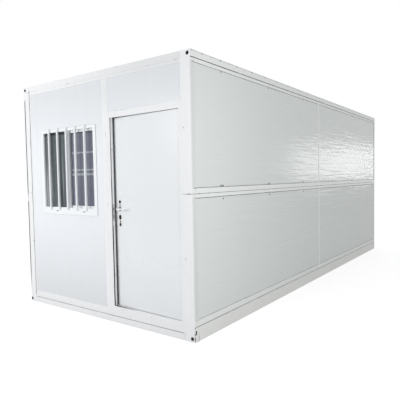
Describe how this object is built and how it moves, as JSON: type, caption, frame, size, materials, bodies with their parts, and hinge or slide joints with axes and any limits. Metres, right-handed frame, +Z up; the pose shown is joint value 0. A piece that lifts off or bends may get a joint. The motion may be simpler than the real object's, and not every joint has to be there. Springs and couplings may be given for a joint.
{
  "type": "folding container house",
  "caption": "Folding steel container house: two end walls, side walls that fold at mid-height, one barred window and one inward door.",
  "frame": {"origin": "middle of the footprint, on the ground under the base frame", "axes": "+X across the width, to the right of someone facing the front; +Y along the length, from the front end wall with the door to the back; +Z up"},
  "size_m": [2.45, 5.824, 2.5],
  "materials": {
    "frame_paint": "white powder coat on rolled steel, smooth with slight orange peel",
    "panel_skin": "glossy white prepainted steel skin on an insulated panel, slightly wavy",
    "door_paint": "smooth white painted steel",
    "galvanised_steel": "galvanised steel with a dull spangle",
    "roof_steel": "off-white ribbed steel sheet with dust between the ribs",
    "floor_board": "cement-bonded fibre board, matt grey-brown",
    "hinge_steel": "zinc-plated steel",
    "seal_rubber": "matt black rubber",
    "strike_steel": "dull grey steel",
    "window_profile": "white extruded plastic profile",
    "window_glass": "clear float glass",
    "guard_paint": "white painted steel tube",
    "lock_steel": "bright satin chrome",
    "cylinder_brass": "dark nickel-plated lock cylinder"
  },
  "bodies": {
    "house": {"base_side_beam_left": "frame_paint", "base_side_beam_right": "frame_paint", "base_end_beam_front": "frame_paint", "base_end_beam_back": "frame_paint", "base_corner_blocks": "frame_paint", "floor_joists": "galvanised_steel", "floor_board": "floor_board", "roof_side_beam_left": "frame_paint", "roof_side_beam_right": "frame_paint", "roof_end_beam_front": "frame_paint", "roof_end_beam_back": "frame_paint", "roof_corner_blocks": "frame_paint", "roof_purlins": "galvanised_steel", "roof_sheet": "roof_steel", "roof_ribs": "roof_steel", "ceiling_panel": "panel_skin", "right_upper_frame": "frame_paint", "right_lower_frame": "frame_paint", "left_upper_frame": "frame_paint", "left_lower_frame": "frame_paint", "right_upper_panels": "panel_skin", "right_lower_panels": "panel_skin", "left_upper_panels": "panel_skin", "left_lower_panels": "panel_skin", "fold_hinges": "hinge_steel", "front_wall_frame": "frame_paint", "front_window_panel": "panel_skin", "front_door_head_panel": "panel_skin", "door_frame": "frame_paint", "door_seal": "seal_rubber", "strike_plate": "strike_steel", "door_hinge_frame_halves": "hinge_steel", "window_frame": "window_profile", "window_sashes": "window_profile", "window_glass": "window_glass", "window_guard": "guard_paint", "back_wall_frame": "frame_paint", "back_wall_panels": "panel_skin"},
    "door": {"door_leaf": "door_paint", "door_hinge_leaf_halves": "hinge_steel", "lock_plates": "lock_steel", "key_cylinder": "cylinder_brass"},
    "lever": {"door_lever": "lock_steel"}
  },
  "joints": [
    {"name": "door_hinge", "type": "hinge", "parent": "house", "child": "door", "pos_m": [1.1015, -2.831, 1.094], "axis": [0, 0, -1], "range_deg": [-2.7, 82.3]},
    {"name": "lever_pivot", "type": "hinge", "parent": "door", "child": "lever", "pos_m": [0.30405, -2.83244, 1.13], "axis": [0.0471, 0.9989, 0], "range_deg": [0, 40], "stiffness_Nm_per_rad": 0.8}
  ]
}
